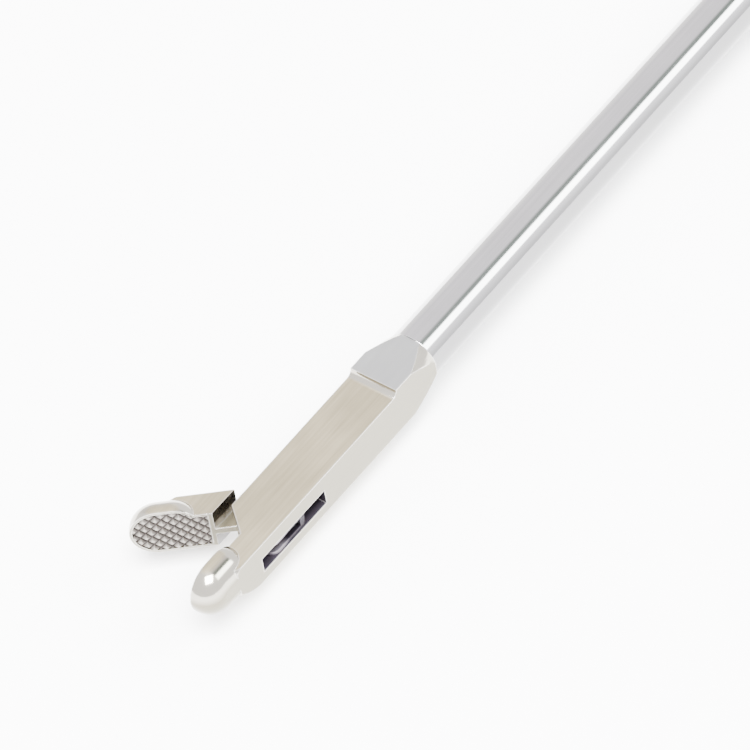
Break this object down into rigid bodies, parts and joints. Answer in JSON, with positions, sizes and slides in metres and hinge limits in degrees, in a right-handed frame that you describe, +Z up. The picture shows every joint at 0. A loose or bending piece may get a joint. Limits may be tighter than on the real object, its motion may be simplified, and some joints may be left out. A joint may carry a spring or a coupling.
{
  "type": "needle holder",
  "caption": "Long-shaft surgical needle holder: one swinging toothed jaw with a round nose, a pull rod in a thin tube, and a ring handle with a ratchet.",
  "frame": {"origin": "on the table side of the handle, straight under the pull rod's end at mid stroke, where the rest face is", "axes": "+X along the shaft to the jaws, +Y towards the finger rings and the jaw head's side window, +Z up from the table, square to the jaw head's milled flat"},
  "size_m": [0.3965, 0.1105, 0.0114],
  "materials": {
    "satin_steel": "satin, glass-bead blasted",
    "polished_steel": "mirror polished",
    "milled_steel": "finely milled satin, rounded parts polished",
    "rod_steel": "ground",
    "spring_steel": "ground",
    "carbide": "matte, cross-cut teeth",
    "bush_polymer": "matte",
    "seal_rubber": "matte"
  },
  "bodies": {
    "handle": {"handle_body": "satin_steel", "top_cover": "satin_steel", "cover_screws": "polished_steel", "lever_pivot_screw": "polished_steel", "pawl_pin": "polished_steel", "pawl_spring": "spring_steel", "rear_rod_bush": "bush_polymer", "rod_seal": "seal_rubber", "flush_port": "polished_steel", "union_nut": "polished_steel", "shaft_tube": "polished_steel", "rod_guide_bush": "bush_polymer", "jaw_head": "milled_steel", "fixed_jaw_insert": "carbide", "jaw_pivot_pin": "milled_steel"},
    "thumb_lever": {"thumb_lever": "satin_steel", "ratchet_rack": "rod_steel", "rack_rivets": "polished_steel"},
    "pull_rod": {"pull_rod": "rod_steel", "rod_barrel_nut": "polished_steel"},
    "moving_jaw": {"moving_jaw": "milled_steel", "moving_jaw_insert": "carbide", "drive_pin": "spring_steel"},
    "ratchet_pawl": {"ratchet_pawl": "satin_steel"}
  },
  "joints": [
    {"name": "thumb_lever_hinge", "type": "hinge", "parent": "handle", "child": "thumb_lever", "pos_m": [0, 0.00898, 0.005], "axis": [0, 0, -1], "range_deg": [0, 13.3]},
    {"name": "pull_rod_slide", "type": "slide", "parent": "handle", "child": "pull_rod", "axis": [-1, 0, 0], "range_m": [0, 0.00208]},
    {"name": "jaw_hinge", "type": "hinge", "parent": "handle", "child": "moving_jaw", "pos_m": [0.3419, -0.0011, 0.005], "axis": [0, 0, 1], "range_deg": [0, 50]},
    {"name": "pawl_hinge", "type": "hinge", "parent": "handle", "child": "ratchet_pawl", "pos_m": [0.02291, 0.02526, 0.005], "axis": [0, 0, -1], "range_deg": [0, 8.5]}
  ],
  "couplings": [
    {"joint": "pull_rod_slide", "follows": "thumb_lever_hinge", "m_per_rad": 0.0089648},
    {"joint": "jaw_hinge", "follows": "thumb_lever_hinge", "ratio": 3.7594}
  ]
}
